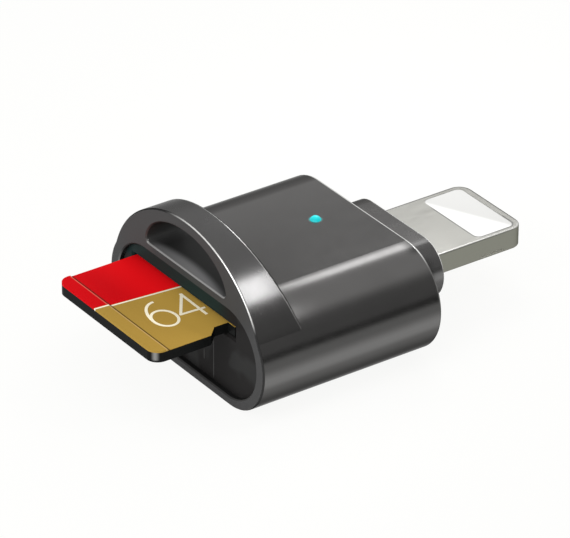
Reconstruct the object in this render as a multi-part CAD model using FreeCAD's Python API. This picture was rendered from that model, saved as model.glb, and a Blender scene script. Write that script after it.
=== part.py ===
import FreeCAD, Part
import math
import os
from FreeCAD import Vector

# Card reader with a memory card in its slot. Millimetres, +Z up, +X towards the plug.
# The origin is the centre of the body's flat base. The body is sized from the inside out:
# card, socket and board set its length, width and height.

# Memory card, in the outline of the small card standard
CARD_L = 15.0
CARD_W = 11.0
CARD_T = 0.7
CARD_NOSE_STEP = 1.3     # the contact end is narrower by this much
CARD_NOSE_L = 6.4        # length of the narrow contact end
CARD_NOTCH_AT = 9.0      # square flank of the side notch, from the contact end
CARD_NOTCH_L = 1.05      # length of the notch floor
CARD_NOTCH_D = 0.72
CARD_CORNER_R = 0.8
CARD_OUT = 5.45          # length standing out of the housing's face
CARD_Y = 0.85            # centre of the slot, beside the middle
RIDGE_L = 1.0            # finger ridge at the grip end
RIDGE_H = 0.1
PAD_T = 0.03             # the card's contact pads
PAD_L = 2.9
PAD_W = 0.8
PAD_PITCH = 1.1
PAD_FROM_END = 0.6
PIN_COUNT = 8

# Card socket: moulded base with rails and a card stop, springs and a stamped cover
SOCKET_FLOOR_T = 0.415
SOCKET_PLAY = 0.05       # card above the floor and short of the stop
RAIL_PLAY = 0.1
RAIL_T = 0.3
STOP_T = 0.35
SHEET_T = 0.15           # the metal cover
SHEET_PLAY = 0.1         # cover above the card
LEAF_L = 2.6             # hold-down leaves stamped in the cover
LEAF_W = 1.0
LEAF_SLIT = 0.2
TAB_L = 1.0              # solder tabs of the cover
TAB_OUT = 0.25
TAB_END = 1.1            # tab's place, from the cover's ends
SPRING_T = 0.12
SPRING_W = 0.45
SPRING_SLOT_W = 0.6
SPRING_TAIL = 0.9
SPRING_RISE = 1.5        # run of the rising arm
SPRING_TOP = 0.3         # flat of the contact point
SPRING_TIP = 0.8         # falling arm at the free end
SPRING_GAP = 0.03        # contact point below the card

# Plug blade
PLUG_W = 6.7
PLUG_T = 1.5
PLUG_L = 7.63            # beyond the collar
PLUG_TIP_R = 0.95
PLUG_EDGE_R = 0.1
PLUG_PLAY = 0.04         # blade and flange in the collar
WINDOW_L = 3.1
WINDOW_RIM = 0.36        # blade beside the window
WINDOW_TIP = 0.5         # rim between window and tip
WINDOW_R = 0.5
WINDOW_SINK = 0.03
DETENT_L = 1.85
DETENT_TIP = 1.7         # detent's start, from the tip
DETENT_D = 0.2
DETENT_H = 0.2
DETENT_LIFT = 0.12       # detent above the blade's lower face
FLANGE_LIP = 0.65        # flange beyond the blade's sides
FLANGE_STEP = 0.4        # flange beyond the blade's faces
FLANGE_T = 0.8
LEAD_T = 0.1             # plug contacts
LEAD_W = 0.34
LEAD_PITCH = 0.48
LEAD_SKIN = 0.1          # plastic under a lead in the channel
LEAD_PAD_L = 1.6         # bare pad in the lower window
LEAD_PAD_RIM = 0.85      # pad's end, from the window's tip end
LEAD_STEP = 0.35         # length of the bend down to the pad
LEAD_TAIL = 1.1          # length soldered under the board's tongue
CHANNEL_SIDE = 0.35      # passage for the leads, beyond the outer ones
CHANNEL_WALL = 0.25      # blade above and below the passage
BLOCK_L = 0.9            # moulded block behind the flange
BLOCK_SIDE = 0.6
BLOCK_STEP = 0.45

# Board and carriers
BOARD_T = 0.8
BOARD_SIDE_PLAY = 0.5    # board to the housing's side walls
BOARD_PLAY = 0.1         # board and its neighbours along X
BOARD_CORNER_R = 0.6
TONGUE_SIDE = 0.3        # tongue beyond the channel, each side
CARRIER_PLAY = 0.05
TRAY_WALL = 0.9
TRAY_FLOOR = 0.5
COVER_WALL = 0.6
COVER_TOP = 1.13         # cover over the socket
COVER_PLAY = 0.02
REAR_ROOM = 2.85         # between the card stop and the end cap

# Status light, behind the card stop
LIGHT_BEHIND = 0.44
LIGHT_Y = 0.62
LIGHT_D = 0.75
LENS_H = 0.25            # domed end of the light pipe, above the body
LED_L = 0.5
LED_W = 1.0
LED_H = 0.35
PIPE_PLAY = 0.02

# Small components under the board: length along X, width along Y, height
CHIP = (4.0, 4.0, 0.85)
CHIP_Y = -0.4
CRYSTAL = (2.5, 2.0, 0.6)
CRYSTAL_Y = 3.6
REGULATOR = (2.9, 1.4, 1.0)
REGULATOR_Y = -4.2
SMALL_CHIP = (1.0, 0.5, 0.5)
SMALL_CHIP_PITCH = 1.9   # capacitors in a row at the plug's end, resistors at the card's end
SMALL_CHIP_COUNT = 3
PART_GAP = 0.3           # small components to the tray's end walls

# Housing: stadium-shaped tube
WALL = 0.6               # top and bottom wall
SIDE_WALL = 0.83         # wall at the rounded sides
SOCKET_ROOM = 0.147      # socket's upper corner to the bore
FRONT_R = 0.12           # rounding of the outer edge at the card end
BACK_R = 0.22            # and at the plug's end
RIM_CHAMFER = 0.08       # broken edge of the recess and the lanyard hole

# Arched loop at the card end: an elliptical wall whose back leans out towards the base
ARCH_INSET = 0.28        # widest place of the ellipse inside the body's side
ARCH_WALL = 0.75         # over the crown of the lanyard hole
ARCH_T = 2.05            # thickness at the crown
ARCH_LEAN = 0.27         # growth of the thickness for each mm of drop
ARCH_BACK_R = 0.2
HOLE_W = 8.9             # lanyard hole along its floor
HOLE_H = 2.69            # floor to crown
HOLE_R = 0.35            # rounding of its two lower corners

# Slot insert
BEZEL_SINK = 0.4         # depth of its face below the rim
BEZEL_T = 1.2
SLOT_PLAY_Y = 0.2        # slot beyond the card's edge, each side
SLOT_PLAY_Z = 0.08       # slot above and below the card
SLOT_LEAD = 0.14         # chamfer round the slot's mouth

# Collar and end cap
CAP_T = 0.9              # plate that closes the body
NECK_L = 2.86            # collar beyond the body
NECK_SIDE = 0.895        # collar's wall beside the flange
NECK_SKIN = 0.89         # collar's wall above and below the flange
NECK_WALL = 0.7          # end wall of the collar
NECK_EDGE_R = 0.12

# Heights, from the plug's mid plane
CHANNEL_H = PLUG_T - 2 * CHANNEL_WALL
LEAD_LOW = LEAD_SKIN - CHANNEL_H / 2
BOARD_HIGH = LEAD_LOW + LEAD_T + BOARD_T
CARD_LOW = BOARD_HIGH + SOCKET_FLOOR_T + SOCKET_PLAY
SHEET_HIGH = CARD_LOW + CARD_T + SHEET_PLAY + SHEET_T
BORE_H = 2 * (SHEET_HIGH + COVER_PLAY + COVER_TOP + CARRIER_PLAY)
BODY_H = BORE_H + 2 * WALL
MID_Z = BODY_H / 2
LEAD_Z = MID_Z + LEAD_LOW
BOARD_Z0 = LEAD_Z + LEAD_T
BOARD_Z1 = BOARD_Z0 + BOARD_T
SOCKET_FLOOR = BOARD_Z1 + SOCKET_FLOOR_T
CARD_Z = MID_Z + CARD_LOW
CARD_TOP = CARD_Z + CARD_T
SHEET_Z = CARD_TOP + SHEET_PLAY
COVER_Z = SHEET_Z + SHEET_T + COVER_PLAY

# Widths
RAIL_Y = CARD_W / 2 + RAIL_PLAY
SOCKET_Y = RAIL_Y + RAIL_T
SOCKET_CORNER = CARD_Y + SOCKET_Y + SHEET_T + SOCKET_ROOM
BORE_W = 2 * (SOCKET_CORNER + BORE_H / 2 - math.sqrt((BORE_H / 2) ** 2 - SHEET_HIGH ** 2))
BODY_W = BORE_W + 2 * SIDE_WALL
ARCH_W = BODY_W - 2 * ARCH_INSET
ARCH_TOP = BODY_H + HOLE_H + ARCH_WALL
BOARD_W = BORE_W - 2 * BOARD_SIDE_PLAY
WINDOW_W = PLUG_W - 2 * WINDOW_RIM
FLANGE_W = PLUG_W + 2 * FLANGE_LIP
FLANGE_H = PLUG_T + 2 * FLANGE_STEP
NECK_W = FLANGE_W + 2 * PLUG_PLAY + 2 * NECK_SIDE
NECK_H = FLANGE_H + 2 * PLUG_PLAY + 2 * NECK_SKIN
CHANNEL_W = (PIN_COUNT - 1) * LEAD_PITCH + LEAD_W + 2 * CHANNEL_SIDE
BLOCK_W = CHANNEL_W + 2 * BLOCK_SIDE
BLOCK_H = CHANNEL_H + 2 * BLOCK_STEP
TONGUE_W = CHANNEL_W + 2 * TONGUE_SIDE

# Places along X
BODY_L = CARD_L - CARD_OUT + SOCKET_PLAY + STOP_T + REAR_ROOM + CAP_T
FRONT = -BODY_L / 2
BACK = BODY_L / 2
BEZEL_X = FRONT + BEZEL_SINK
INNER_X0 = BEZEL_X + BEZEL_T
INNER_X1 = BACK - CAP_T
INNER_MID = (INNER_X0 + INNER_X1) / 2
CARD_X0 = FRONT - CARD_OUT
CARD_X1 = CARD_X0 + CARD_L
STOP_X = CARD_X1 + SOCKET_PLAY
SOCKET_X1 = STOP_X + STOP_T
SPRING_X = SOCKET_X1 - SPRING_TAIL - SPRING_RISE - SPRING_TOP - SPRING_TIP
LIGHT_X = SOCKET_X1 + LIGHT_BEHIND
NECK_X = BACK + NECK_L
FLANGE_X1 = NECK_X - NECK_WALL
FLANGE_X0 = FLANGE_X1 - FLANGE_T
BLOCK_X = FLANGE_X0 - BLOCK_L
TIP_X = NECK_X + PLUG_L
WINDOW_X1 = TIP_X - WINDOW_TIP
WINDOW_X0 = WINDOW_X1 - WINDOW_L
BIG = 60.0


def box(x0, x1, y0, y1, z0, z1):
    """Box between two corners."""
    return Part.makeBox(x1 - x0, y1 - y0, z1 - z0, Vector(x0, y0, z0))


def segment(start, end):
    return Part.LineSegment(start, end).toShape()


def arc(start, middle, end):
    return Part.Arc(start, middle, end).toShape()


def stadium(x0, x1, width, height):
    """Prism along X on the mid height: two half circles joined by straight runs."""
    r = height / 2
    a = width / 2 - r
    low = MID_Z - r
    high = MID_Z + r
    wire = Part.Wire([
        segment(Vector(x0, -a, low), Vector(x0, a, low)),
        arc(Vector(x0, a, low), Vector(x0, a + r, MID_Z), Vector(x0, a, high)),
        segment(Vector(x0, a, high), Vector(x0, -a, high)),
        arc(Vector(x0, -a, high), Vector(x0, -a - r, MID_Z), Vector(x0, -a, low)),
    ])
    return Part.Face(wire).extrude(Vector(x1 - x0, 0, 0))


def profile_xz(points, y0, y1):
    """Closed outline in the X-Z plane, extruded along Y."""
    loop = [Vector(x, y0, z) for x, z in points]
    wire = Part.makePolygon(loop + loop[:1])
    return Part.Face(wire).extrude(Vector(0, y1 - y0, 0))


def profile_xy(points, z0, z1):
    """Closed outline in the X-Y plane, extruded along Z."""
    loop = [Vector(x, y, z0) for x, y in points]
    wire = Part.makePolygon(loop + loop[:1])
    return Part.Face(wire).extrude(Vector(0, 0, z1 - z0))


def edges_at(shape, x):
    """Edges that lie wholly in the plane at x."""
    found = []
    for edge in shape.Edges:
        bounds = edge.BoundBox
        if abs(bounds.XMin - x) < 1e-4 and abs(bounds.XMax - x) < 1e-4:
            found.append(edge)
    return found


def edges_within(edges, half_width, low, high):
    """Of these edges, the ones between two heights and within a width."""
    found = []
    for edge in edges:
        bounds = edge.BoundBox
        level = bounds.ZMin > low - 1e-3 and bounds.ZMax < high + 1e-3
        if level and max(bounds.YMax, -bounds.YMin) < half_width + 1e-3:
            found.append(edge)
    return found


def upright_edges(shape, inside):
    """Vertical edges whose place passes the given test."""
    found = []
    for edge in shape.Edges:
        bounds = edge.BoundBox
        flat = bounds.XLength < 1e-4 and bounds.YLength < 1e-4
        if flat and inside(bounds.XMin, bounds.YMin):
            found.append(edge)
    return found


def rounded_plate(x0, x1, width, z0, z1, radius):
    """Plate with four rounded upright corners, centred on Y."""
    plate = box(x0, x1, -width / 2, width / 2, z0, z1)
    return plate.makeFillet(radius, upright_edges(plate, lambda x, y: True))


def elliptical(x0, x1, half_w, rise, z):
    """Prism along X with an elliptical section about height z."""
    centre = Vector(x0, 0, z)
    side = Vector(x0, half_w, z)
    crown = Vector(x0, 0, z + rise)
    longer, shorter = (side, crown) if half_w >= rise else (crown, side)
    outline = Part.Wire(Part.Ellipse(longer, shorter, centre).toShape())
    return Part.Face(outline).extrude(Vector(x1 - x0, 0, 0))


def arch():
    """Elliptical wall over the body, its back leaning out towards the base."""
    half_w = ARCH_W / 2
    rise = ARCH_TOP - MID_Z
    deep = ARCH_T + ARCH_LEAN * 2 * rise + 1
    wall = elliptical(FRONT, FRONT + deep, half_w, rise, MID_Z)
    low = MID_Z - rise - 1
    high = ARCH_TOP + 1
    behind = profile_xz([
        (FRONT + ARCH_T + ARCH_LEAN * (ARCH_TOP - high), high),
        (FRONT + ARCH_T + ARCH_LEAN * (ARCH_TOP - low), low),
        (FRONT + BIG, low),
        (FRONT + BIG, high),
    ], -half_w - 1, half_w + 1)
    wall = wall.cut(behind)
    wall = wall.makeFillet(FRONT_R, edges_at(wall, FRONT))
    back = [e for e in wall.Edges
            if e.BoundBox.XMin > FRONT + ARCH_T / 2 and e.BoundBox.ZLength > rise]
    wall = wall.makeFillet(ARCH_BACK_R, back)
    return wall.common(box(FRONT - 1, FRONT + BIG, -BIG, BIG, MID_Z, BIG))


def lanyard_hole():
    """Half ellipse with a flat floor level with the body's top."""
    half = HOLE_W / 2
    cutter = elliptical(FRONT - 1, BACK, half, HOLE_H, BODY_H)
    cutter = cutter.common(box(FRONT - 1, BACK, -half - 1, half + 1, BODY_H, BODY_H + HOLE_H + 1))
    corners = [e for e in cutter.Edges
               if e.BoundBox.XLength > BODY_L / 2 and e.BoundBox.ZMax < BODY_H + HOLE_H / 2]
    return cutter.makeFillet(HOLE_R, corners)


def housing():
    body = stadium(FRONT, BACK, BODY_W, BODY_H)
    body = body.makeFillet(FRONT_R, edges_at(body, FRONT))
    body = body.makeFillet(BACK_R, edges_at(body, BACK))
    shell = body.fuse(arch()).cut(lanyard_hole())
    shell = shell.cut(stadium(FRONT - 1, BACK + 1, BORE_W, BORE_H))
    shell = shell.removeSplitter()
    rims = edges_within(edges_at(shell, FRONT), HOLE_W / 2, BODY_H, BODY_H + HOLE_H)
    rims += edges_within(edges_at(shell, FRONT), BORE_W / 2, WALL, BODY_H - WALL)
    shell = shell.makeChamfer(RIM_CHAMFER, rims)
    hole = Part.makeCylinder(LIGHT_D / 2, WALL + 2, Vector(LIGHT_X, LIGHT_Y, BODY_H - WALL - 1))
    return shell.cut(hole)


def slot_bezel():
    """Insert with the card slot and the chamfer round its mouth."""
    block = stadium(BEZEL_X, INNER_X0, BORE_W, BORE_H)
    half = CARD_W / 2 + SLOT_PLAY_Y
    y0 = CARD_Y - half
    y1 = CARD_Y + half
    z0 = CARD_Z - SLOT_PLAY_Z
    z1 = CARD_TOP + SLOT_PLAY_Z
    block = block.cut(box(BEZEL_X - 1, INNER_X0 + 1, y0, y1, z0, z1))
    mouth = []
    for x, grow in ((BEZEL_X, SLOT_LEAD), (BEZEL_X + SLOT_LEAD, 0.0)):
        corners = [
            Vector(x, y0 - grow, z0 - grow),
            Vector(x, y1 + grow, z0 - grow),
            Vector(x, y1 + grow, z1 + grow),
            Vector(x, y0 - grow, z1 + grow),
        ]
        mouth.append(Part.makePolygon(corners + corners[:1]))
    return block.cut(Part.makeLoft(mouth, True))


def end_cap():
    """Plate in the body's end with the collar, hollow for the plug's flange."""
    neck = stadium(INNER_X1, NECK_X, NECK_W, NECK_H)
    neck = neck.makeFillet(NECK_EDGE_R, edges_at(neck, NECK_X))
    cap = stadium(INNER_X1, BACK, BORE_W, BORE_H).fuse(neck)
    half_w = FLANGE_W / 2 + PLUG_PLAY
    half_h = FLANGE_H / 2 + PLUG_PLAY
    cap = cap.cut(box(INNER_X1 - 1, FLANGE_X1, -half_w, half_w, MID_Z - half_h, MID_Z + half_h))
    half_w = PLUG_W / 2 + PLUG_PLAY
    half_h = PLUG_T / 2 + PLUG_PLAY
    cap = cap.cut(box(FLANGE_X1 - 1, NECK_X + 1, -half_w, half_w, MID_Z - half_h, MID_Z + half_h))
    return cap.removeSplitter()


def window(z0, z1):
    return rounded_plate(WINDOW_X0, WINDOW_X1, WINDOW_W, z0, z1, WINDOW_R)


def plug_shell():
    """Blade with rounded tip corners, a window through both faces and side detents."""
    z0 = MID_Z - PLUG_T / 2
    z1 = MID_Z + PLUG_T / 2
    blade = box(FLANGE_X1, TIP_X, -PLUG_W / 2, PLUG_W / 2, z0, z1)
    blade = blade.makeFillet(PLUG_TIP_R, upright_edges(blade, lambda x, y: x > NECK_X))
    rim = [e for e in blade.Edges if e.BoundBox.ZLength < 1e-4 and e.BoundBox.XMax > FLANGE_X1 + 1e-3]
    blade = blade.makeFillet(PLUG_EDGE_R, rim)
    flange = box(FLANGE_X0, FLANGE_X1, -FLANGE_W / 2, FLANGE_W / 2,
                 MID_Z - FLANGE_H / 2, MID_Z + FLANGE_H / 2)
    shell = blade.fuse(flange)
    shell = shell.cut(window(z0 - 1, z1 + 1))
    shell = shell.cut(box(FLANGE_X0 - 1, WINDOW_X0 + WINDOW_R, -CHANNEL_W / 2, CHANNEL_W / 2,
                          MID_Z - CHANNEL_H / 2, MID_Z + CHANNEL_H / 2))
    x1 = TIP_X - DETENT_TIP
    for side in (-1, 1):
        edge = side * PLUG_W / 2
        deep = edge - side * DETENT_D
        shell = shell.cut(box(x1 - DETENT_L, x1, min(deep, edge + side), max(deep, edge + side),
                              z0 + DETENT_LIFT, z0 + DETENT_LIFT + DETENT_H))
    return shell


def plug_lead(number):
    """One contact: tail under the board, straight run through the blade, pad in the window."""
    y = (number - (PIN_COUNT - 1) / 2) * LEAD_PITCH
    pad_z = MID_Z - PLUG_T / 2 + WINDOW_SINK
    pad_x1 = WINDOW_X1 - LEAD_PAD_RIM
    pad_x0 = pad_x1 - LEAD_PAD_L
    path = [
        (BLOCK_X - LEAD_TAIL, LEAD_Z),
        (pad_x0 - LEAD_STEP, LEAD_Z),
        (pad_x0, pad_z),
        (pad_x1, pad_z),
    ]
    above = [(x, z + LEAD_T) for x, z in reversed(path)]
    return profile_xz(path + above, y - LEAD_W / 2, y + LEAD_W / 2)


def plug_insert(leads):
    """White core: fills the windows and the channel, ends in a block behind the flange."""
    core = window(MID_Z - PLUG_T / 2 + WINDOW_SINK, MID_Z + PLUG_T / 2 - WINDOW_SINK)
    core = core.fuse(box(FLANGE_X0, WINDOW_X0 + WINDOW_R, -CHANNEL_W / 2, CHANNEL_W / 2,
                         MID_Z - CHANNEL_H / 2, MID_Z + CHANNEL_H / 2))
    core = core.fuse(box(BLOCK_X, FLANGE_X0, -BLOCK_W / 2, BLOCK_W / 2,
                         MID_Z - BLOCK_H / 2, MID_Z + BLOCK_H / 2))
    return core.removeSplitter().cut(leads)


def circuit_board():
    """Board with a tongue that reaches into the collar."""
    x1 = INNER_X1 - BOARD_PLAY
    board = rounded_plate(INNER_X0 + BOARD_PLAY, x1, BOARD_W, BOARD_Z0, BOARD_Z1, BOARD_CORNER_R)
    tongue = box(x1 - 1, BLOCK_X, -TONGUE_W / 2, TONGUE_W / 2, BOARD_Z0, BOARD_Z1)
    return board.fuse(tongue).removeSplitter()


def under_board(size, x, y):
    """Component hanging from the board's underside."""
    length, width, height = size
    return box(x - length / 2, x + length / 2, y - width / 2, y + width / 2,
               BOARD_Z0 - height, BOARD_Z0)


def socket_base():
    """Floor with slots for the springs, two rails and the card stop."""
    y0 = CARD_Y - SOCKET_Y
    y1 = CARD_Y + SOCKET_Y
    base = box(INNER_X0, SOCKET_X1, y0, y1, BOARD_Z1, SOCKET_FLOOR)
    for rail_y in (y0, y1 - RAIL_T):
        base = base.fuse(box(INNER_X0, SOCKET_X1, rail_y, rail_y + RAIL_T, BOARD_Z1, SHEET_Z))
    base = base.fuse(box(STOP_X, SOCKET_X1, y0, y1, BOARD_Z1, SHEET_Z))
    base = base.removeSplitter()
    for number in range(PIN_COUNT):
        slot_y0 = pin_y(number) - SPRING_SLOT_W / 2
        slot_y1 = slot_y0 + SPRING_SLOT_W
        slot_x = SPRING_X - SPRING_GAP
        base = base.cut(box(slot_x, SOCKET_X1 + 1, slot_y0, slot_y1, BOARD_Z1 - 1, SOCKET_FLOOR))
        base = base.cut(box(slot_x, STOP_X, slot_y0, slot_y1, BOARD_Z1 - 1, SHEET_Z))
    return base


def pin_y(number):
    return CARD_Y + (number - (PIN_COUNT - 1) / 2) * PAD_PITCH


def socket_spring(number):
    """Contact spring: soldered tail, rising arm, contact point and turned-down tip."""
    low = BOARD_Z1
    high = CARD_Z - SPRING_GAP - SPRING_T
    point = SPRING_X + SPRING_TIP
    path = [
        (SPRING_X, (low + high) / 2),
        (point, high),
        (point + SPRING_TOP, high),
        (SOCKET_X1 - SPRING_TAIL, low),
        (SOCKET_X1, low),
    ]
    above = [(x, z + SPRING_T) for x, z in reversed(path)]
    y = pin_y(number)
    return profile_xz(path + above, y - SPRING_W / 2, y + SPRING_W / 2)


def socket_shell():
    """Stamped cover over the card: side skirts, two hold-down leaves, four solder tabs."""
    outer = SOCKET_Y + SHEET_T
    top = SHEET_Z + SHEET_T
    cover = box(INNER_X0, SOCKET_X1, CARD_Y - outer, CARD_Y + outer, BOARD_Z1, top)
    cover = cover.cut(box(INNER_X0 - 1, SOCKET_X1 + 1, CARD_Y - SOCKET_Y, CARD_Y + SOCKET_Y,
                          BOARD_Z1 - 1, SHEET_Z))
    leaf_x = (INNER_X0 + SOCKET_X1 - LEAF_L) / 2
    for y in (CARD_Y - CARD_W / 4, CARD_Y + CARD_W / 4):
        half = LEAF_W / 2
        cover = cover.cut(box(leaf_x, leaf_x + LEAF_L + LEAF_SLIT, y - half - LEAF_SLIT,
                              y + half + LEAF_SLIT, SHEET_Z - 1, top + 1))
        cover = cover.fuse(box(leaf_x, leaf_x + LEAF_L, y - half, y + half, SHEET_Z, top))
    for x in (INNER_X0 + TAB_END, SOCKET_X1 - TAB_END - TAB_L):
        for y in (CARD_Y - outer - TAB_OUT, CARD_Y + outer):
            cover = cover.fuse(box(x, x + TAB_L, y, y + TAB_OUT, BOARD_Z1, BOARD_Z1 + SHEET_T))
    return cover.removeSplitter()


def lower_carrier():
    """Tray under the board, open to the top, with a ledge all round."""
    width = BORE_W - 2 * CARRIER_PLAY
    height = BORE_H - 2 * CARRIER_PLAY
    tray = stadium(INNER_X0, INNER_X1, width, height)
    pocket = stadium(INNER_X0 + TRAY_WALL, INNER_X1 - TRAY_WALL,
                     width - 2 * TRAY_WALL, height - 2 * TRAY_FLOOR)
    tray = tray.cut(pocket)
    return tray.cut(box(-BIG, BIG, -BIG, BIG, BOARD_Z0, BIG))


def upper_carrier():
    """Cover over socket and board with a seat for the light pipe."""
    width = BORE_W - 2 * CARRIER_PLAY
    height = BORE_H - 2 * CARRIER_PLAY
    cover = stadium(INNER_X0, INNER_X1, width, height)
    cover = cover.cut(box(-BIG, BIG, -BIG, BIG, -BIG, BOARD_Z1))
    rear = INNER_X1 - COVER_WALL
    cover = cover.cut(box(-BIG, SOCKET_X1 + BOARD_PLAY, -BIG, BIG, BOARD_Z1 - 1, COVER_Z))
    half = BORE_W / 2 - 2 * COVER_WALL
    cover = cover.cut(box(SOCKET_X1, rear, -half, half, BOARD_Z1 - 1, COVER_Z))
    bore = Part.makeCylinder(LIGHT_D / 2 + PIPE_PLAY, BODY_H, Vector(LIGHT_X, LIGHT_Y, BOARD_Z1))
    return cover.cut(bore)


def status_led():
    return box(LIGHT_X - LED_L / 2, LIGHT_X + LED_L / 2, LIGHT_Y - LED_W / 2, LIGHT_Y + LED_W / 2,
               BOARD_Z1, BOARD_Z1 + LED_H)


def light_pipe():
    """Clear rod from the light to the top face, where it ends in a low dome."""
    r = LIGHT_D / 2
    z0 = BOARD_Z1 + LED_H
    dome_r = (r ** 2 + LENS_H ** 2) / (2 * LENS_H)
    rod = Part.makeCylinder(r, BODY_H + LENS_H - z0, Vector(LIGHT_X, LIGHT_Y, z0))
    dome = Part.makeSphere(dome_r, Vector(LIGHT_X, LIGHT_Y, BODY_H + LENS_H - dome_r))
    below = Part.makeCylinder(r, BODY_H - z0, Vector(LIGHT_X, LIGHT_Y, z0))
    return below.fuse(rod.common(dome)).removeSplitter()


def card_blank():
    """Card outline seen from above, contact end towards the plug, notch on the near side."""
    near = CARD_Y - CARD_W / 2
    far = CARD_Y + CARD_W / 2
    nose = near + CARD_NOSE_STEP
    notch = CARD_X1 - CARD_NOTCH_AT
    floor_end = notch - CARD_NOTCH_L
    outline = [
        (CARD_X0, near),
        (floor_end - CARD_NOTCH_D, near),
        (floor_end, near + CARD_NOTCH_D),
        (notch, near + CARD_NOTCH_D),
        (notch, near),
        (CARD_X1 - CARD_NOSE_L - CARD_NOSE_STEP, near),
        (CARD_X1 - CARD_NOSE_L, nose),
        (CARD_X1, nose),
        (CARD_X1, far),
        (CARD_X0, far),
    ]
    ends = (CARD_X0, CARD_X1)
    blank = profile_xy(outline, CARD_Z, CARD_TOP)
    corners = upright_edges(blank, lambda x, y: min(abs(x - e) for e in ends) < 1e-4)
    blank = blank.makeFillet(CARD_CORNER_R, corners)
    ridge = profile_xy(outline, CARD_TOP, CARD_TOP + RIDGE_H)
    corners = upright_edges(ridge, lambda x, y: abs(x - CARD_X0) < 1e-4)
    ridge = ridge.makeFillet(CARD_CORNER_R, corners)
    ridge = ridge.common(box(-BIG, CARD_X0 + RIDGE_L, -BIG, BIG, -BIG, BIG))
    return blank.fuse(ridge).removeSplitter()


def card_pad(number):
    y = pin_y(number)
    x1 = CARD_X1 - PAD_FROM_END
    return box(x1 - PAD_L, x1, y - PAD_W / 2, y + PAD_W / 2, CARD_Z, CARD_Z + PAD_T)


def build():
    leads = [plug_lead(n) for n in range(PIN_COUNT)]
    pads = [card_pad(n) for n in range(PIN_COUNT)]
    nodes = {
        "housing": housing(),
        "slot_bezel": slot_bezel(),
        "end_cap": end_cap(),
        "plug_shell": plug_shell(),
        "plug_insert": plug_insert(leads),
        "circuit_board": circuit_board(),
        "lower_carrier": lower_carrier(),
        "upper_carrier": upper_carrier(),
        "socket_base": socket_base(),
        "socket_shell": socket_shell(),
        "status_led": status_led(),
        "light_pipe": light_pipe(),
        "controller_chip": under_board(CHIP, INNER_MID, CHIP_Y),
        "crystal": under_board(CRYSTAL, INNER_MID, CRYSTAL_Y),
        "power_regulator": under_board(REGULATOR, INNER_MID, REGULATOR_Y),
        "card_body": card_blank().cut(pads),
    }
    seat = TRAY_WALL + PART_GAP + SMALL_CHIP[0] / 2
    for i in range(SMALL_CHIP_COUNT):
        y = (i - (SMALL_CHIP_COUNT - 1) / 2) * SMALL_CHIP_PITCH
        nodes["resistor_%d" % (i + 1)] = under_board(SMALL_CHIP, INNER_X0 + seat, y)
        nodes["capacitor_%d" % (i + 1)] = under_board(SMALL_CHIP, INNER_X1 - seat, y)
    for n in range(PIN_COUNT):
        nodes["plug_contact_%d" % (n + 1)] = leads[n]
        nodes["card_contact_%d" % (n + 1)] = pads[n]
        nodes["socket_contact_%d" % (n + 1)] = socket_spring(n)
    return nodes


os.makedirs("parts", exist_ok=True)
for name, shape in build().items():
    shape.exportStep("parts/" + name + ".step")
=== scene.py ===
import bpy
import numpy as np
from mathutils import Matrix, Vector


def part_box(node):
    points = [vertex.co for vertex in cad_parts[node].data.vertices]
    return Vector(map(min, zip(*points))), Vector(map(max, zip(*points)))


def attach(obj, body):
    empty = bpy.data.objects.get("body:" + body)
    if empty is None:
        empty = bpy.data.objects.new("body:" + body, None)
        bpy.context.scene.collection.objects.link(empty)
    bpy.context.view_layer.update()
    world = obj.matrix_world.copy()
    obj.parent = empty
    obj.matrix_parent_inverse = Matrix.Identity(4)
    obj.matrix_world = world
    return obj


# The reader as it was packed: every node lies in the row's frame, in metres.
# Sizes in this file are written in millimetres and carried over by MM.
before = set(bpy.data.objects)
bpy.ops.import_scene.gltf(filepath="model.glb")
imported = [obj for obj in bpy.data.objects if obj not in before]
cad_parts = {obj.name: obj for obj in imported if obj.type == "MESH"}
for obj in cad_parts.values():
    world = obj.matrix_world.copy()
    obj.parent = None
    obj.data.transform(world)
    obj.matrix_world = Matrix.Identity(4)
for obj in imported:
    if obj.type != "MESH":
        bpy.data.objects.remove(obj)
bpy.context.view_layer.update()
MM = 0.001


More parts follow.
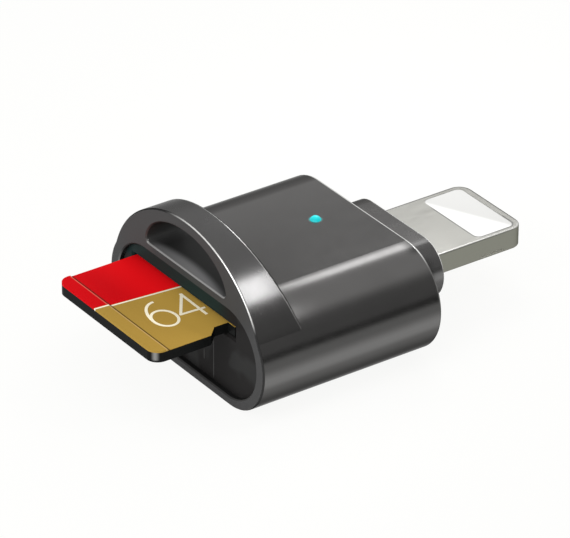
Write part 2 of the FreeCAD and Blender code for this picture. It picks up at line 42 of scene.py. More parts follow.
# The housing and the end plate: one tube of die-cast alloy with the lanyard arch on it, closed by
# a machined plate with the plug's collar. Both are bead-blasted, then plated in gunmetal grey. The
# edges of arch and plate are cut bright, and carry painted highlights where they catch the light
# and painted shade where they don't; the front face and the lanyard hole stay dull. The satin's
# tones hold painted light and shade, and a painted cyan glow lies round the status light.
class Amount:
    """A number worked out at each point of a surface, which adds and multiplies like any other."""

    def __init__(self, socket):
        self.socket = socket

    def step(self, operation, other=0.0):
        """One step of arithmetic on this amount and a number or another amount."""
        math = self.socket.id_data.nodes.new("ShaderNodeMath")
        math.operation = operation
        plug_in(math.inputs[0], self)
        plug_in(math.inputs[1], other)
        return Amount(math.outputs["Value"])

    def __add__(self, other):
        return self.step("ADD", other)

    def __sub__(self, other):
        return self.step("SUBTRACT", other)

    def __mul__(self, other):
        return self.step("MULTIPLY", other)

    def __truediv__(self, other):
        return self.step("DIVIDE", other)

    def __abs__(self):
        return self.step("ABSOLUTE")

    def squared(self):
        """This amount times itself."""
        return self.step("POWER", 2.0)

    def above_zero(self):
        """This amount, or zero where it is below zero."""
        return self.step("MAXIMUM", 0.0)

    def mapped(self, start, end, low, high, shape="SMOOTHSTEP"):
        """Carries start..end over to low..high, held at both ends."""
        curve = self.socket.id_data.nodes.new("ShaderNodeMapRange")
        curve.interpolation_type = shape
        for name, number in zip(("From Min", "From Max", "To Min", "To Max"), (start, end, low, high)):
            curve.inputs[name].default_value = number
        plug_in(curve.inputs["Value"], self)
        return Amount(curve.outputs["Result"])

    def rise(self, start, end):
        """A share that goes from 0 at start to 1 at end."""
        return self.mapped(start, end, 0.0, 1.0)

    def fall(self, start, end):
        """A share that goes from 1 at start to 0 at end."""
        return self.mapped(start, end, 1.0, 0.0)

    def within(self, start, full, painted_highlight_fade, end):
        """A share that is 1 from full to fading and 0 outside start to end."""
        return self.rise(start, full) * self.fall(painted_highlight_fade, end)

    def blend(self, first, second):
        """A colour that goes from first to second as this share goes from 0 to 1."""
        mix = self.socket.id_data.nodes.new("ShaderNodeMix")
        mix.data_type = "RGBA"
        colours = [socket for socket in mix.inputs if socket.type == "RGBA"]
        plug_in(colours[0], first)
        plug_in(colours[1], second)
        plug_in(mix.inputs["Factor"], self)
        return [socket for socket in mix.outputs if socket.type == "RGBA"][0]


def plug_in(socket, value):
    """Gives an input a number, a colour, or what another node works out."""
    if isinstance(value, Amount):
        value = value.socket
    if isinstance(value, bpy.types.NodeSocket):
        socket.id_data.links.new(value, socket)
    elif isinstance(value, tuple):
        socket.default_value = (*value, 1)
    else:
        socket.default_value = value


def feed(shader, looks):
    """Sets the named inputs of a shader."""
    for name, value in looks.items():
        plug_in(shader.inputs[name], value)


def greatest(first, *others):
    """The largest of several amounts."""
    for other in others:
        first = first.step("MAXIMUM", other)
    return first


def apart(across, along):
    """The straight distance to what lies this far across and this far along."""
    return (across.squared() + along.squared()).step("SQRT")


def layered(colour, *layers):
    """A colour with others laid over it in turn, each by its own share."""
    for share, over in layers:
        colour = share.blend(colour, over)
    return colour


def finish_named(name):
    """A new node material; returns it, its node tree and its one surface shader."""
    finish = bpy.data.materials.new(name)
    finish.use_nodes = True
    return finish, finish.node_tree, finish.node_tree.nodes["Principled BSDF"]


def own_place(tree, stretch=(1, 1, 1)):
    """The point's place on the object in millimetres, stretched along the axes."""
    where = tree.nodes.new("ShaderNodeTexCoord")
    scaled = tree.nodes.new("ShaderNodeMapping")
    scaled.inputs["Scale"].default_value = [s / MM for s in stretch]
    tree.links.new(where.outputs["Object"], scaled.inputs["Vector"])
    return scaled.outputs["Vector"]


def parts_of(tree, vector):
    """The x, y and z of a vector, each as an amount."""
    split = tree.nodes.new("ShaderNodeSeparateXYZ")
    tree.links.new(vector, split.inputs["Vector"])
    return [Amount(split.outputs[axis]) for axis in "XYZ"]


def axes_of(tree):
    """The point's x, y and z on the object, in millimetres."""
    return parts_of(tree, own_place(tree))


def facing_of(tree):
    """The x, y and z of the way the surface faces; the pieces are only ever slid, not turned."""
    return parts_of(tree, tree.nodes.new("ShaderNodeNewGeometry").outputs["Normal"])


def grain(tree, size, detail=3.0, stretch=(1, 1, 1)):
    """Noise whose grains are about size millimetres across, 0 to 1."""
    noise = tree.nodes.new("ShaderNodeTexNoise")
    noise.inputs["Scale"].default_value = 1 / size
    noise.inputs["Detail"].default_value = detail
    tree.links.new(own_place(tree, stretch), noise.inputs["Vector"])
    return Amount(noise.outputs["Fac"])


def dented(tree, shader, height, depth):
    """Bump from a 0 to 1 height, depth millimetres deep."""
    bump = tree.nodes.new("ShaderNodeBump")
    bump.inputs["Distance"].default_value = depth * MM
    bump.inputs["Strength"].default_value = 1.0
    plug_in(bump.inputs["Height"], height)
    tree.links.new(bump.outputs["Normal"], shader.inputs["Normal"])


def give(finish, *names):
    """Puts a finish into every material slot of these nodes."""
    for name in names:
        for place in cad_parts[name].material_slots:
            place.material = finish


def corners_of(name):
    """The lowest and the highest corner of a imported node, in millimetres."""
    return np.array(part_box(name)) / MM


# The arch stands on an ellipse about the reader's middle height, a little inside the body's sides.
ARCH_INSET, ARCH_THICKNESS, ARCH_LEAN = 0.28, 2.05, 0.27
FRONT_X = corners_of("housing")[0, 0]
BACK_X, SIDE_Y, CROWN_Z = corners_of("housing")[1]
MIDDLE_Z = corners_of("end_cap")[:, 2].mean()
ARCH_BACK_X = FRONT_X + ARCH_THICKNESS + CROWN_Z * ARCH_LEAN
LIGHT_X, LIGHT_Y = corners_of("light_pipe").mean(axis=0)[:2]
gunmetal, tree, shader = finish_named("gunmetal")
x, y, z = axes_of(tree)
facing_x, facing_y, facing_z = facing_of(tree)

# Where a point lies: outward is 1 on the arch's outline, and the arch's back leans forward.
outward = (y / (SIDE_Y - ARCH_INSET)).squared() + ((z - MIDDLE_Z) / (CROWN_Z - MIDDLE_Z)).squared()
on_outline = outward.rise(0.90, 0.95)
before_back = (x + z * ARCH_LEAN - ARCH_BACK_X).fall(0.0, 0.1)
on_arch = before_back * z.rise(6.8, 8.6)
on_collar = x.rise(BACK_X + 0.01, BACK_X + 0.05)
front_face = x.fall(FRONT_X + 0.005, FRONT_X + 0.05) * facing_x.fall(-0.98, -0.90)
in_hole = outward.fall(0.80, 0.86) * x.fall(-4.0, -3.8) * abs(facing_x).fall(0.6, 0.9)
dull = greatest(front_face, in_hole)

# The edges: painted highlights on those that catch the light, painted shade on those in shade.
front_rounding = (x.fall(FRONT_X + 0.19, FRONT_X + 0.25) * on_outline
                  * facing_x.within(-0.98, -0.92, -0.12, -0.02))
catching = z.rise(6.3, 7.5) * y.fall(-1.2, 2.4)
front_edge_highlight = front_rounding * catching * facing_x.within(-0.94, -0.84, -0.42, -0.26)
front_edge_shade = front_rounding * catching.fall(0.0, 0.6)
hole_edge_highlight = (x.fall(FRONT_X + 0.13, FRONT_X + 0.19) * facing_z.within(0.52, 0.60, 0.68, 0.76)
             * z.rise(7.0, 7.2) * outward.fall(0.60, 0.66))
rear_edge_highlight = (x.rise(BACK_X - 0.25, BACK_X - 0.19) * facing_x.within(0.05, 0.15, 0.85, 0.95)
             * y.mapped(-7.4, -5.9, 0.06, 1.0) * z.rise(4.0, 5.0))
back_rounding = x.fall(-2.5, -2.0) * on_outline
back_edge_highlight = back_rounding * facing_x.within(0.02, 0.06, 0.24, 0.32) * z.rise(6.2, 7.0)
shaded_edge = back_rounding * facing_x.within(0.28, 0.36, 0.88, 0.95) * z.rise(6.2, 7.4)

# The satin and its tones, by place and by the way the surface faces; most tones are painted light and
# shade.
off_collar = x.fall(BACK_X + 0.01, BACK_X + 0.05)
# Painted shade on the upper flank and a painted highlight band on the lower flank.
upper_flank_shade = facing_z.within(0.00, 0.14, 0.26, 0.42) * off_collar
lower_flank_highlight = facing_z.within(-0.28, -0.14, -0.08, 0.06) * off_collar
# A painted gradient across the flat top: darker on the near side, lighter on the far side.
level_top = facing_z.rise(0.995, 0.9995) * x.fall(BACK_X - 0.15, BACK_X - 0.05)
painted_top_shading = y.mapped(-5.0, 5.5, 0.0, 1.0, "LINEAR").blend((0.085, 0.084, 0.083), (0.170, 0.168, 0.167))
# Painted shade on the arch: darker on its near side than on its far side.
painted_arch_shading = y.rise(-2.0, 1.5).blend((0.098, 0.097, 0.097), (0.150, 0.149, 0.149))
# On the collar, painted shade dims its highlight and painted light brightens its end.
collar_round_shade = on_collar * facing_z.fall(0.90, 0.97)
collar_end_light = (x.rise(BACK_X + 1.35, BACK_X + 2.45) * facing_z.fall(0.60, 0.80)
              * facing_z.mapped(-0.10, 0.10, 0.30, 1.0))
# Painted shade that fades the body's highlight band out towards the rear edge and on the collar.
shoulder = facing_z.rise(0.91, 0.965) * facing_y.fall(-0.10, -0.02)
painted_highlight_fade = (shoulder * x.mapped(BACK_X - 1.05, BACK_X - 0.15, 0.0, 0.78)
          * x.mapped(BACK_X - 0.05, BACK_X + 0.15, 1.0, 0.78))
by_slot = z.within(6.4, 6.8, 7.4, 8.4) * y.within(-3.0, 0.0, 3.0, 4.2)
machined = by_slot.blend((0.060, 0.060, 0.061), (0.049, 0.060, 0.061))

# The hole: painted shade inside, with painted light on its sill, which is bowed, and a little at its far
# end.
from_mouth = x + (y - 0.6).squared() * 0.035
above_floor = z.rise(6.8, 7.0)
painted_sill_light = (from_mouth.fall(-6.40, -5.65) * above_floor * facing_z.rise(-0.2, 0.6)
        * y.mapped(-1.0, 4.8, 1.0, 0.7))
painted_hole_shading = layered(
    painted_sill_light.blend((0.018, 0.018, 0.018), (0.160, 0.160, 0.163)),
    (y.rise(3.2, 4.6) * above_floor, (0.048, 0.048, 0.048)),
)
satin_and_painted_shading = layered(
    grain(tree, 2.5).rise(0.3, 0.7).blend((0.128, 0.126, 0.125), (0.135, 0.133, 0.132)),
    (level_top, painted_top_shading),
    (on_arch, painted_arch_shading),
    # Painted shade on the underside, darker towards the bottom.
    (facing_z.fall(-0.62, -0.12), (0.088, 0.087, 0.086)),
    (upper_flank_shade, (0.088, 0.087, 0.086)),
    (lower_flank_highlight, (0.178, 0.176, 0.175)),
    (collar_round_shade, (0.090, 0.089, 0.089)),
    (collar_end_light, (0.180, 0.178, 0.178)),
    (painted_highlight_fade, (0.030, 0.030, 0.030)),
    (front_face, machined),
    (front_edge_shade, (0.040, 0.040, 0.040)),
    (in_hole, painted_hole_shading),
    (shaded_edge, (0.020, 0.020, 0.020)),
)
# Bright-cut edges, made bright only where they catch the light: partly a real cut, partly a painted
# highlight.
bright_cut_and_highlights = greatest(front_edge_highlight, rear_edge_highlight, back_edge_highlight * 0.55, hole_edge_highlight * 0.24)
edge_highlight_colour = rear_edge_highlight.blend((0.76, 0.76, 0.75), (0.98, 0.98, 0.97))
# A painted cyan glow on the housing round the status light's dome.
painted_led_glow = apart(x - LIGHT_X, y - LIGHT_Y).fall(0.36, 0.52) * facing_z.rise(0.9, 0.98)
arch_band = before_back * on_outline * z.rise(6.6, 7.4)
feed(shader, {
    "Base Color": bright_cut_and_highlights.blend(satin_and_painted_shading, edge_highlight_colour),
    "Metallic": dull.mapped(0.0, 1.0, 1.0, 0.06),
    "Roughness": (grain(tree, 0.9).mapped(0.3, 0.7, 0.205, 0.23) + dull * 0.22 + on_collar * 0.05
                  + arch_band * 0.045),
    "Emission Color": painted_led_glow.blend((0.0, 0.0, 0.0), (0.010, 0.16, 0.165)),
    "Emission Strength": 1.0,
    "Specular Tint": (0.38, 0.38, 0.38),
    "Specular IOR Level": 0.04,
})
dented(tree, shader, grain(tree, 0.06, 1.0), 0.00003)
give(gunmetal, "housing", "end_cap")


# The slot insert: an injection-moulded frame of glossy black plastic, pressed into the open end
# of the housing. Its face has a slightly uneven shine and two fine upright mould seams.
LONG_SEAM_Y, LONG_SEAM_Z = -2.52, 2.10
SHORT_SEAM_Y, SHORT_SEAM_Z = -1.47, 1.95
black_gloss, tree, shader = finish_named("black_gloss")
y, z = axes_of(tree)[1:]
cloud = grain(tree, 2.2, 1.0).rise(0.50, 0.62)
upper_bar = z.rise(4.9, 5.5) * y.rise(-4.6, -2.6)
long_seam = abs(y - LONG_SEAM_Y).fall(0.02, 0.05) * abs(z - LONG_SEAM_Z).fall(1.1, 1.5)
short_seam = abs(y - SHORT_SEAM_Y).fall(0.02, 0.05) * abs(z - SHORT_SEAM_Z).fall(0.25, 0.42)
feed(shader, {
    "Base Color": layered(
        cloud.blend((0.019, 0.018, 0.018), (0.029, 0.029, 0.029)),
        (upper_bar, (0.016, 0.030, 0.029)),
        (greatest(long_seam, short_seam), (0.085, 0.085, 0.085)),
    ),
    "Roughness": cloud.mapped(0.0, 1.0, 0.40, 0.30),
    "IOR": 1.20,
    "Specular IOR Level": 0.08,
})
give(black_gloss, "slot_bezel")


# The plug: a drawn blade of plated steel, satin on its faces and brushed along its narrow sides,
# which carry painted shade. A painted highlight lies on the near side's rim, painted shade on the
# far side's rim, and a painted highlight in the detent in each side.
BLADE_HALF_WIDTH, TIP_R = 3.35, 0.95
WINDOW_LENGTH, WINDOW_R = 3.1, 0.5
TIP_X = corners_of("plug_shell")[1, 0]
DETENT_X, DETENT_Z = TIP_X - 2.625, MIDDLE_Z - 0.53


def off_window(x, y):
    """How far a point lies from the rectangle between the centres of the window's rounded corners."""
    end_x, side_y = corners_of("plug_insert")[1, :2]
    along = abs(x - (end_x - WINDOW_LENGTH / 2)) - (WINDOW_LENGTH / 2 - WINDOW_R)
    across = abs(y) - (side_y - WINDOW_R)
    return apart(across.above_zero(), along.above_zero())


plug_metal, tree, shader = finish_named("plug_metal")
x, y, z = axes_of(tree)
facing_z = facing_of(tree)[2]
past_corner = (x - (TIP_X - TIP_R)).above_zero()
to_edge = apart((abs(y) - (BLADE_HALF_WIDTH - TIP_R)).above_zero(), past_corner)
# The narrow sides are painted darker and olive, as painted shade.
side = abs(facing_z).fall(0.35, 0.75) * to_edge.rise(0.62, 0.66)
# A painted highlight on the near side's rim and painted shade on the far side's rim.
rim = to_edge.rise(0.78, 0.84) * facing_z.rise(0.5, 0.8)
far_rim_shade = rim * y.rise(-3.0, -2.4)
near_rim_highlight = rim * y.fall(-3.0, -2.4)
joint_line = off_window(x, y).fall(0.56, 0.60) * facing_z.rise(0.8, 0.9) * (x + y).fall(15.0, 16.0)
# The detent is painted pale and less metallic, as a painted highlight.
detent_highlight = (abs(y).within(3.0, 3.05, 3.32, 3.345) * abs(z - DETENT_Z).fall(0.105, 0.115)
             * abs(x - DETENT_X).fall(0.93, 0.94))
strokes = grain(tree, 0.12, 2.0, (0.06, 1, 1))
feed(shader, {
    "Base Color": layered(
        strokes.blend((0.435, 0.433, 0.410), (0.465, 0.463, 0.438)),
        (side, strokes.blend((0.228, 0.230, 0.196), (0.258, 0.260, 0.222))),
        (far_rim_shade * 0.9, (0.11, 0.11, 0.105)),
        (near_rim_highlight, (0.62, 0.62, 0.60)),
        (joint_line, (0.24, 0.24, 0.235)),
        (detent_highlight, (0.64, 0.64, 0.59)),
    ),
    "Metallic": detent_highlight.mapped(0.0, 1.0, 1.0, 0.1),
    "Roughness": strokes.mapped(0.3, 0.7, 0.30, 0.38),
    "Specular Tint": (0.34, 0.34, 0.33),
})
dented(tree, shader, strokes, 0.0008)
give(plug_metal, "plug_shell")


# The plug's core: white plastic moulded into the blade's two windows and polished flush; half of it
# is painted brighter as a painted reflection of the light. The joint round it shows as a fine grey line.
white_plastic, tree, shader = finish_named("white_plastic")
x, y = axes_of(tree)[:2]
seam = off_window(x, y).rise(0.42, 0.47) * y.mapped(2.0, 2.6, 1.0, 0.3) * x.mapped(16.2, 16.5, 1.0, 0.4)
# A painted reflection: the part towards the collar and the near side is painted brighter.
painted_reflection = (x + y * 0.50).fall(14.9, 15.4)
feed(shader, {
    "Base Color": layered(
        painted_reflection.blend((0.67, 0.67, 0.66), (0.90, 0.90, 0.89)),
        (seam, (0.30, 0.30, 0.29)),
    ),
    "Roughness": grain(tree, 0.6).mapped(0.3, 0.7, 0.12, 0.18),
})
give(white_plastic, "plug_insert")


# The contacts of plug, card and socket: gold over copper in the plug and on the card, and
# spring steel in the socket, whose stamped cover is of the same sheet.
gold, tree, shader = finish_named("gold")
rubbed = grain(tree, 0.25, 3.0, (0.3, 1, 1))
feed(shader, {
    "Base Color": rubbed.blend((0.86, 0.58, 0.22), (0.95, 0.70, 0.32)),
    "Roughness": rubbed.mapped(0.3, 0.7, 0.18, 0.32),
    "Metallic": 1.0,
})
give(gold, *[f"{kind}_contact_{n}" for kind in ("plug", "card") for n in range(1, 9)])

spring_steel, tree, shader = finish_named("spring_steel")
rolled = grain(tree, 0.15, 3.0, (0.1, 1, 1))
feed(shader, {
    "Base Color": rolled.blend((0.50, 0.49, 0.46), (0.60, 0.59, 0.56)),
    "Roughness": rolled.mapped(0.3, 0.7, 0.22, 0.34),
    "Metallic": 1.0,
})
give(spring_steel, "socket_shell", *[f"socket_contact_{n}" for n in range(1, 9)])


# The memory card: a black moulded slip with a matt printed label over its whole upper side.
# The print is two plain fields of colour that meet in a slanted line with a thin pale stripe, both
# painted lighter towards the slot as painted light. A painted shadow line lies at the foot of the
# finger ridge, with a painted glint on the ridge. One corner carries a painted highlight.
CARD_THICKNESS = 0.7
CARD_X, CARD_Y, CARD_Z = corners_of("card_body")[0]
LABEL_Z = CARD_Z + CARD_THICKNESS
# Where the ridge's painted shadow line and painted glint lie.
RIDGE_SHADOW_X, RIDGE_GLINT_X = CARD_X + 1.13, CARD_X + 0.95
STRIPE_X, STRIPE_Y, STRIPE_SLOPE = CARD_X + 3.0, CARD_Y + 6.33, 0.10
card_plastic, tree, shader = finish_named("card_plastic")
x, y, z = axes_of(tree)
facing_x, facing_y = facing_of(tree)[:2]
on_label = z.rise(LABEL_Z - 0.030, LABEL_Z - 0.018)
past_stripe = y + (x - STRIPE_X) * STRIPE_SLOPE - STRIPE_Y
fleck = grain(tree, 0.12, 2.0)
# Painted light: the fields grow lighter towards the slot, where the housing shades them.
near_slot_light = x.rise(FRONT_X - 3.65, FRONT_X - 0.65)
gold_field = layered(
    fleck.blend((0.370, 0.232, 0.044), (0.404, 0.253, 0.053)),
    (near_slot_light, (0.500, 0.315, 0.062)),
)
red_field = layered(
    fleck.blend((0.565, 0.002, 0.005), (0.615, 0.003, 0.007)),
    (near_slot_light, (0.880, 0.006, 0.010)),
)
label = layered(
    gold_field,
    (past_stripe.rise(0.08, 0.12), red_field),
    (abs(past_stripe).fall(0.05, 0.08), (0.93, 0.88, 0.74)),
    # A painted shadow line behind the finger ridge, then a painted glint on the ridge.
    (abs(x - RIDGE_SHADOW_X).mapped(0.03, 0.07, 0.75, 0.0), (0.03, 0.02, 0.012)),
    (abs(x - RIDGE_GLINT_X).mapped(0.02, 0.05, 0.18, 0.0), (0.95, 0.65, 0.45)),
)
# A painted highlight on the rounded corner at the grip end.
corner_highlight = (abs(facing_x - facing_y).fall(0.0, 0.55) * (facing_x + facing_y).fall(-1.30, -1.15)
        * z.rise(CARD_Z + 0.04, CARD_Z + 0.22))
black = layered(
    fleck.blend((0.006, 0.0065, 0.0065), (0.010, 0.0105, 0.0105)),
    (corner_highlight, (0.24, 0.24, 0.235)),
)
feed(shader, {
    "Base Color": on_label.blend(black, label),
    "Roughness": on_label.mapped(0.0, 1.0, 0.30, 0.65),
    "IOR": 1.25,
    "Specular IOR Level": 0.06,
})
give(card_plastic, "card_body")


# The figures on the label: the card's capacity in thin pale strokes of printing ink, a hair thick.
# Strokes that cross differ a little in thickness, as the layers of ink do. Their places are
# measured from the card's outer near corner.
def ink_stroke(line, width, height, closed=False):
    """A flat ribbon: at each point of the line a low rectangle stands square to it, on the label."""
    line = np.array(line, float) + (CARD_X, CARD_Y)
    ahead = np.roll(line, -1, axis=0) - np.roll(line, 1, axis=0) if closed else np.gradient(line, axis=0)
    ahead /= np.linalg.norm(ahead, axis=1, keepdims=True)
    aside = np.stack((-ahead[:, 1], ahead[:, 0]), axis=1)
    section = np.array(((-0.5, 0.0), (0.5, 0.0), (0.5, 1.0), (-0.5, 1.0)))
    flat = line[:, None, :] + aside[:, None, :] * section[None, :, :1] * width
    level = np.broadcast_to(LABEL_Z + section[None, :, 1:] * height, flat[:, :, :1].shape)
    return np.concatenate((flat, level), axis=2).reshape(-1, 3)


def ribbon_faces(rows, first, closed):
    """Quads between the rows of four points, with both ends shut on an open ribbon."""
    row, side = np.meshgrid(np.arange(rows if closed else rows - 1), np.arange(4), indexing="ij")
    after, beside = (row + 1) % rows, (side + 1) % 4
    quads = np.stack((row * 4 + side, after * 4 + side, after * 4 + beside, row * 4 + beside), axis=-1)
    quads = quads.reshape(-1, 4)
    if not closed:
        last = (rows - 1) * 4
        quads = np.vstack((quads, [[0, 1, 2, 3]], [[last + 3, last + 2, last + 1, last]]))
    return quads + first


def oval(middle, half_length, half_width, degrees):
    """Points of an ellipse at these angles from the x axis."""
    turn = np.radians(degrees)
    x = middle[0] + half_length * np.cos(turn)
    y = middle[1] + half_width * np.sin(turn)
    return np.stack((x, y), axis=1)


INK_T, INK_W = 0.008, 0.19
bowl_of_six = oval((3.04, 3.34), 0.80, 1.00, np.arange(0, 360, 5))
arm_of_six = oval((3.50, 3.34), 1.26, 2.06, np.arange(184, 84, -4))
stem_of_four = ((5.50, 5.31), (5.46, 2.27))
slope_of_four = ((5.56, 5.25), (4.08, 3.13))
bar_of_four = ((4.02, 3.15), (5.84, 3.03))
strokes = [
    (bowl_of_six, 1.0, True),
    (arm_of_six, 1.3, False),
    (stem_of_four, 1.0, False),
    (slope_of_four, 1.3, False),
    (bar_of_four, 1.6, False),
]
points, faces, count = [], [], 0
for line, layers, closed in strokes:
    faces.append(ribbon_faces(len(line), count, closed))
    points.append(ink_stroke(line, INK_W, INK_T * layers, closed))
    count += len(line) * 4
figures_mesh = bpy.data.meshes.new("card_figures")
figures_mesh.from_pydata((np.concatenate(points) * MM).tolist(), [], np.concatenate(faces).tolist())
figures = bpy.data.objects.new("card_figures", figures_mesh)
bpy.context.scene.collection.objects.link(figures)
printing_ink, tree, shader = finish_named("printing_ink")
feed(shader, {
    "Base Color": grain(tree, 0.10, 2.0).blend((0.98, 0.90, 0.66), (1.00, 0.94, 0.75)),
    "Roughness": 0.55,
})
figures_mesh.materials.append(printing_ink)
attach(figures, "card")


# The status light: a resin chip on the board with a clear rod above it that stands a little out of
# the top face as a low dome. It is on, so the dome shines cyan, palest in the middle.
light_pipe, tree, shader = finish_named("light_pipe")
x, y = axes_of(tree)[:2]
from_middle = apart(x - LIGHT_X, y - LIGHT_Y)
feed(shader, {
    "Base Color": (0.005, 0.10, 0.11),
    "Roughness": grain(tree, 0.2).mapped(0.3, 0.7, 0.15, 0.25),
    "Emission Color": from_middle.rise(0.10, 0.38).blend((0.005, 0.76, 0.78), (0.0, 0.48, 0.50)),
    "Emission Strength": 1.0,
    "Specular IOR Level": 0.25,
})
give(light_pipe, "light_pipe")

led_resin, tree, shader = finish_named("led_resin")
feed(shader, {
    "Base Color": grain(tree, 0.15).blend((0.75, 0.85, 0.80), (0.85, 0.92, 0.88)),
    "Roughness": 0.3,
})
give(led_resin, "status_led")


# Inside: the board in green laminate, the two moulded carriers that hold it, the card socket's
# black moulding, and the small components soldered to the board.
board_laminate, tree, shader = finish_named("board_laminate")
weave = tree.nodes.new("ShaderNodeTexWave")
weave.inputs["Scale"].default_value = 1 / 0.4
weave.inputs["Distortion"].default_value = 1.5
tree.links.new(own_place(tree), weave.inputs["Vector"])
feed(shader, {
    "Base Color": Amount(weave.outputs["Fac"]).blend((0.010, 0.085, 0.035), (0.018, 0.120, 0.050)),
    "Roughness": grain(tree, 0.3).mapped(0.3, 0.7, 0.28, 0.40),
})
give(board_laminate, "circuit_board")

for name, dark, pale, rough, metallic, nodes in (
    ("carrier_plastic", (0.030, 0.031, 0.033), (0.045, 0.046, 0.048), 0.55, 0.0,
     ("lower_carrier", "upper_carrier")),
    ("socket_plastic", (0.014, 0.014, 0.015), (0.024, 0.024, 0.025), 0.5, 0.0,
     ("socket_base",)),
    ("chip_plastic", (0.016, 0.016, 0.017), (0.028, 0.028, 0.029), 0.6, 0.0,
     ("controller_chip", "power_regulator")),
    ("capacitor_ceramic", (0.34, 0.23, 0.14), (0.42, 0.29, 0.18), 0.45, 0.0,
     ("capacitor_1", "capacitor_2", "capacitor_3")),
    ("resistor_ceramic", (0.020, 0.020, 0.024), (0.035, 0.035, 0.040), 0.4, 0.0,
     ("resistor_1", "resistor_2", "resistor_3")),
    ("crystal_can", (0.55, 0.55, 0.54), (0.66, 0.66, 0.65), 0.25, 1.0,
     ("crystal",)),
):
    finish, tree, shader = finish_named(name)
    feed(shader, {
        "Base Color": grain(tree, 0.2).blend(dark, pale),
        "Roughness": grain(tree, 0.08).mapped(0.3, 0.7, rough - 0.06, rough + 0.06),
        "Metallic": metallic,
    })
    dented(tree, shader, grain(tree, 0.05), 0.001)
    give(finish, *nodes)


# The studio: a wide pale floor under the reader, which stands on it as on a table. What looks at
# the floor sees an even bright white, and its own shading only shows through a little.
def sheet_of(name, corners, finish):
    """One flat piece of studio gear with four corners, in millimetres."""
    mesh = bpy.data.meshes.new(name)
    mesh.from_pydata((np.array(corners, float) * MM).tolist(), [], [(0, 1, 2, 3)])
    mesh.materials.append(finish)
    sheet = bpy.data.objects.new(name, mesh)
    bpy.context.scene.collection.objects.link(sheet)
    return sheet


def mixed_surface(tree, share, first, second):
    """Lets the surface go from one shader's output to another's as share goes from 0 to 1."""
    mix = tree.nodes.new("ShaderNodeMixShader")
    for socket, value in zip(mix.inputs, (share, first, second)):
        plug_in(socket, value)
    tree.links.new(mix.outputs["Shader"], tree.nodes["Material Output"].inputs["Surface"])


FLOOR_HALF, FLOOR_Z, FLOOR_WHITE = 12000.0, -0.01, 0.92
paper, tree, shader = finish_named("paper")
feed(shader, {"Base Color": (0.90, 0.90, 0.89), "Roughness": 1.0, "Specular IOR Level": 0.0})
bright = tree.nodes.new("ShaderNodeEmission")
bright.inputs["Color"].default_value = (0.995, 0.995, 0.985, 1)
ray = tree.nodes.new("ShaderNodeLightPath")
seen = greatest(*[Amount(ray.outputs[kind])
                  for kind in ("Is Camera Ray", "Is Glossy Ray", "Is Transmission Ray")])
mixed_surface(tree, seen * FLOOR_WHITE, shader.outputs["BSDF"], bright.outputs["Emission"])
floor = sheet_of("floor", [(FLOOR_HALF * end, FLOOR_HALF * side, FLOOR_Z)
                           for end, side in ((-1, -1), (1, -1), (1, 1), (-1, 1))], paper)


# A low black flag on the right, outside the picture, that darkens the side of the body. Its foot
# is woven more openly, so that the shade has no hard line.
FLAG_HALF, FLAG_HEIGHT = 17, 9
felt, tree, shader = finish_named("felt")
feed(shader, {
    "Base Color": grain(tree, 0.5).blend((0.10, 0.10, 0.10), (0.14, 0.14, 0.14)),
    "Roughness": 1.0,
    "Specular IOR Level": 0.0,
})
z = axes_of(tree)[2]
open_weave = tree.nodes.new("ShaderNodeBsdfTransparent")
mixed_surface(tree, z.rise(0.0, 3.6), open_weave.outputs["BSDF"], shader.outputs["BSDF"])
flag_foot = np.array((17.0, -36.0, 0.05))
flag_along = np.array((0.866, 0.5, 0.0)) * FLAG_HALF
flag_up = np.array((0.0, 0.0, FLAG_HEIGHT))
flag = sheet_of("flag", [flag_foot + flag_along * end + flag_up * top
                         for end, top in ((-1, 0), (1, 0), (1, 1), (-1, 1))], felt)
flag.visible_camera = False


# The room: white all round, with one darker corner to the right of the camera, low down.
DARK_AZIMUTH, DARK_ELEVATION = np.radians((145, 20))
room = bpy.data.worlds.new("room")
bpy.context.scene.world = room
room.use_nodes = True
tree = room.node_tree
where = tree.nodes.new("ShaderNodeTexCoord")
facing = tree.nodes.new("ShaderNodeVectorMath")
facing.operation = "DOT_PRODUCT"
tree.links.new(where.outputs["Generated"], facing.inputs[0])
facing.inputs[1].default_value = (np.sin(DARK_AZIMUTH) * np.cos(DARK_ELEVATION),
                                  np.cos(DARK_AZIMUTH) * np.cos(DARK_ELEVATION), np.sin(DARK_ELEVATION))
feed(tree.nodes["Background"], {
    "Color": (1.0, 0.995, 0.985),
    "Strength": Amount(facing.outputs["Value"]).mapped(0.80, 0.96, 0.92, 0.30),
})


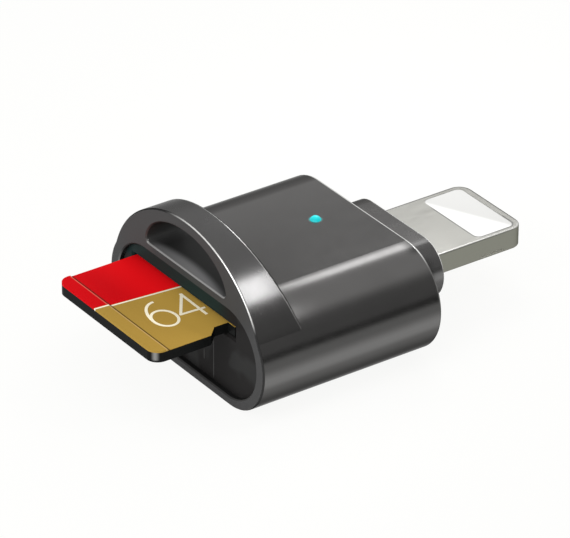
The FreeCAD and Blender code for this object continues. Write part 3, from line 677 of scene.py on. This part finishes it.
# The lamps: a long panel above the body, a small one close to the arch, and a soft key from the
# left.
def placed(across, upward, back, at):
    """Turns a lamp or camera, which looks against back, and puts it at a place in millimetres."""
    turned = Matrix((across, upward, back)).transposed().to_4x4()
    turned.translation = Vector(at) * MM
    return turned


def panel_lamp(name, at, toward, along, width, length, radiance):
    """A flat lamp at a place, aimed at another, its length laid along a direction; sizes in mm."""
    data = bpy.data.lights.new(name, "AREA")
    data.shape = "RECTANGLE"
    data.size, data.size_y = width * MM, length * MM
    data.energy = radiance * np.pi * width * length * MM * MM
    lamp = bpy.data.objects.new(name, data)
    bpy.context.scene.collection.objects.link(lamp)
    back = (Vector(at) - Vector(toward)).normalized()
    upward = Vector(along)
    upward = (upward - back * upward.dot(back)).normalized()
    lamp.matrix_world = placed(upward.cross(back), upward, back, at)
    lamp.visible_camera = False


panel_lamp("panel_above", (22.75, 14.6, 30), (22.75, 14.6, 0), (1, 0, 0), 13, 18.5, 5.0)
panel_lamp("panel_arch", (-1.2, -10.7, 16.0), (-6.2, -6.2, 8.55), (0, -0.857, -0.515), 3.6, 5.2, 10.6)
panel_lamp("panel_left", (-130, -20, 92), (0, 0, 6), (0, 1, 0), 80, 80, 4.0)


# The camera stands where the photograph was taken from.
AZIMUTH, ELEVATION, ROLL = np.radians((-35.221, 29.886, 0.251))
DISTANCE = 295.216
AIM = np.array((0.125, -0.893, 5.630))
back = np.array((np.sin(AZIMUTH) * np.cos(ELEVATION), -np.cos(AZIMUTH) * np.cos(ELEVATION),
                 np.sin(ELEVATION)))
level_right = np.array((np.cos(AZIMUTH), np.sin(AZIMUTH), 0.0))
level_up = np.cross(back, level_right)
right = np.cos(ROLL) * level_right + np.sin(ROLL) * level_up
up = -np.sin(ROLL) * level_right + np.cos(ROLL) * level_up
lens = bpy.data.cameras.new("camera")
lens.sensor_fit = "HORIZONTAL"
lens.sensor_width = 36.0
lens.lens = 295.94
lens.clip_start = 0.01
lens.clip_end = 100.0
camera = bpy.data.objects.new("camera", lens)
bpy.context.scene.collection.objects.link(camera)
camera.matrix_world = placed(right, up, back, AIM + DISTANCE * back)
bpy.context.scene.camera = camera
bpy.context.scene.view_settings.view_transform = "Standard"
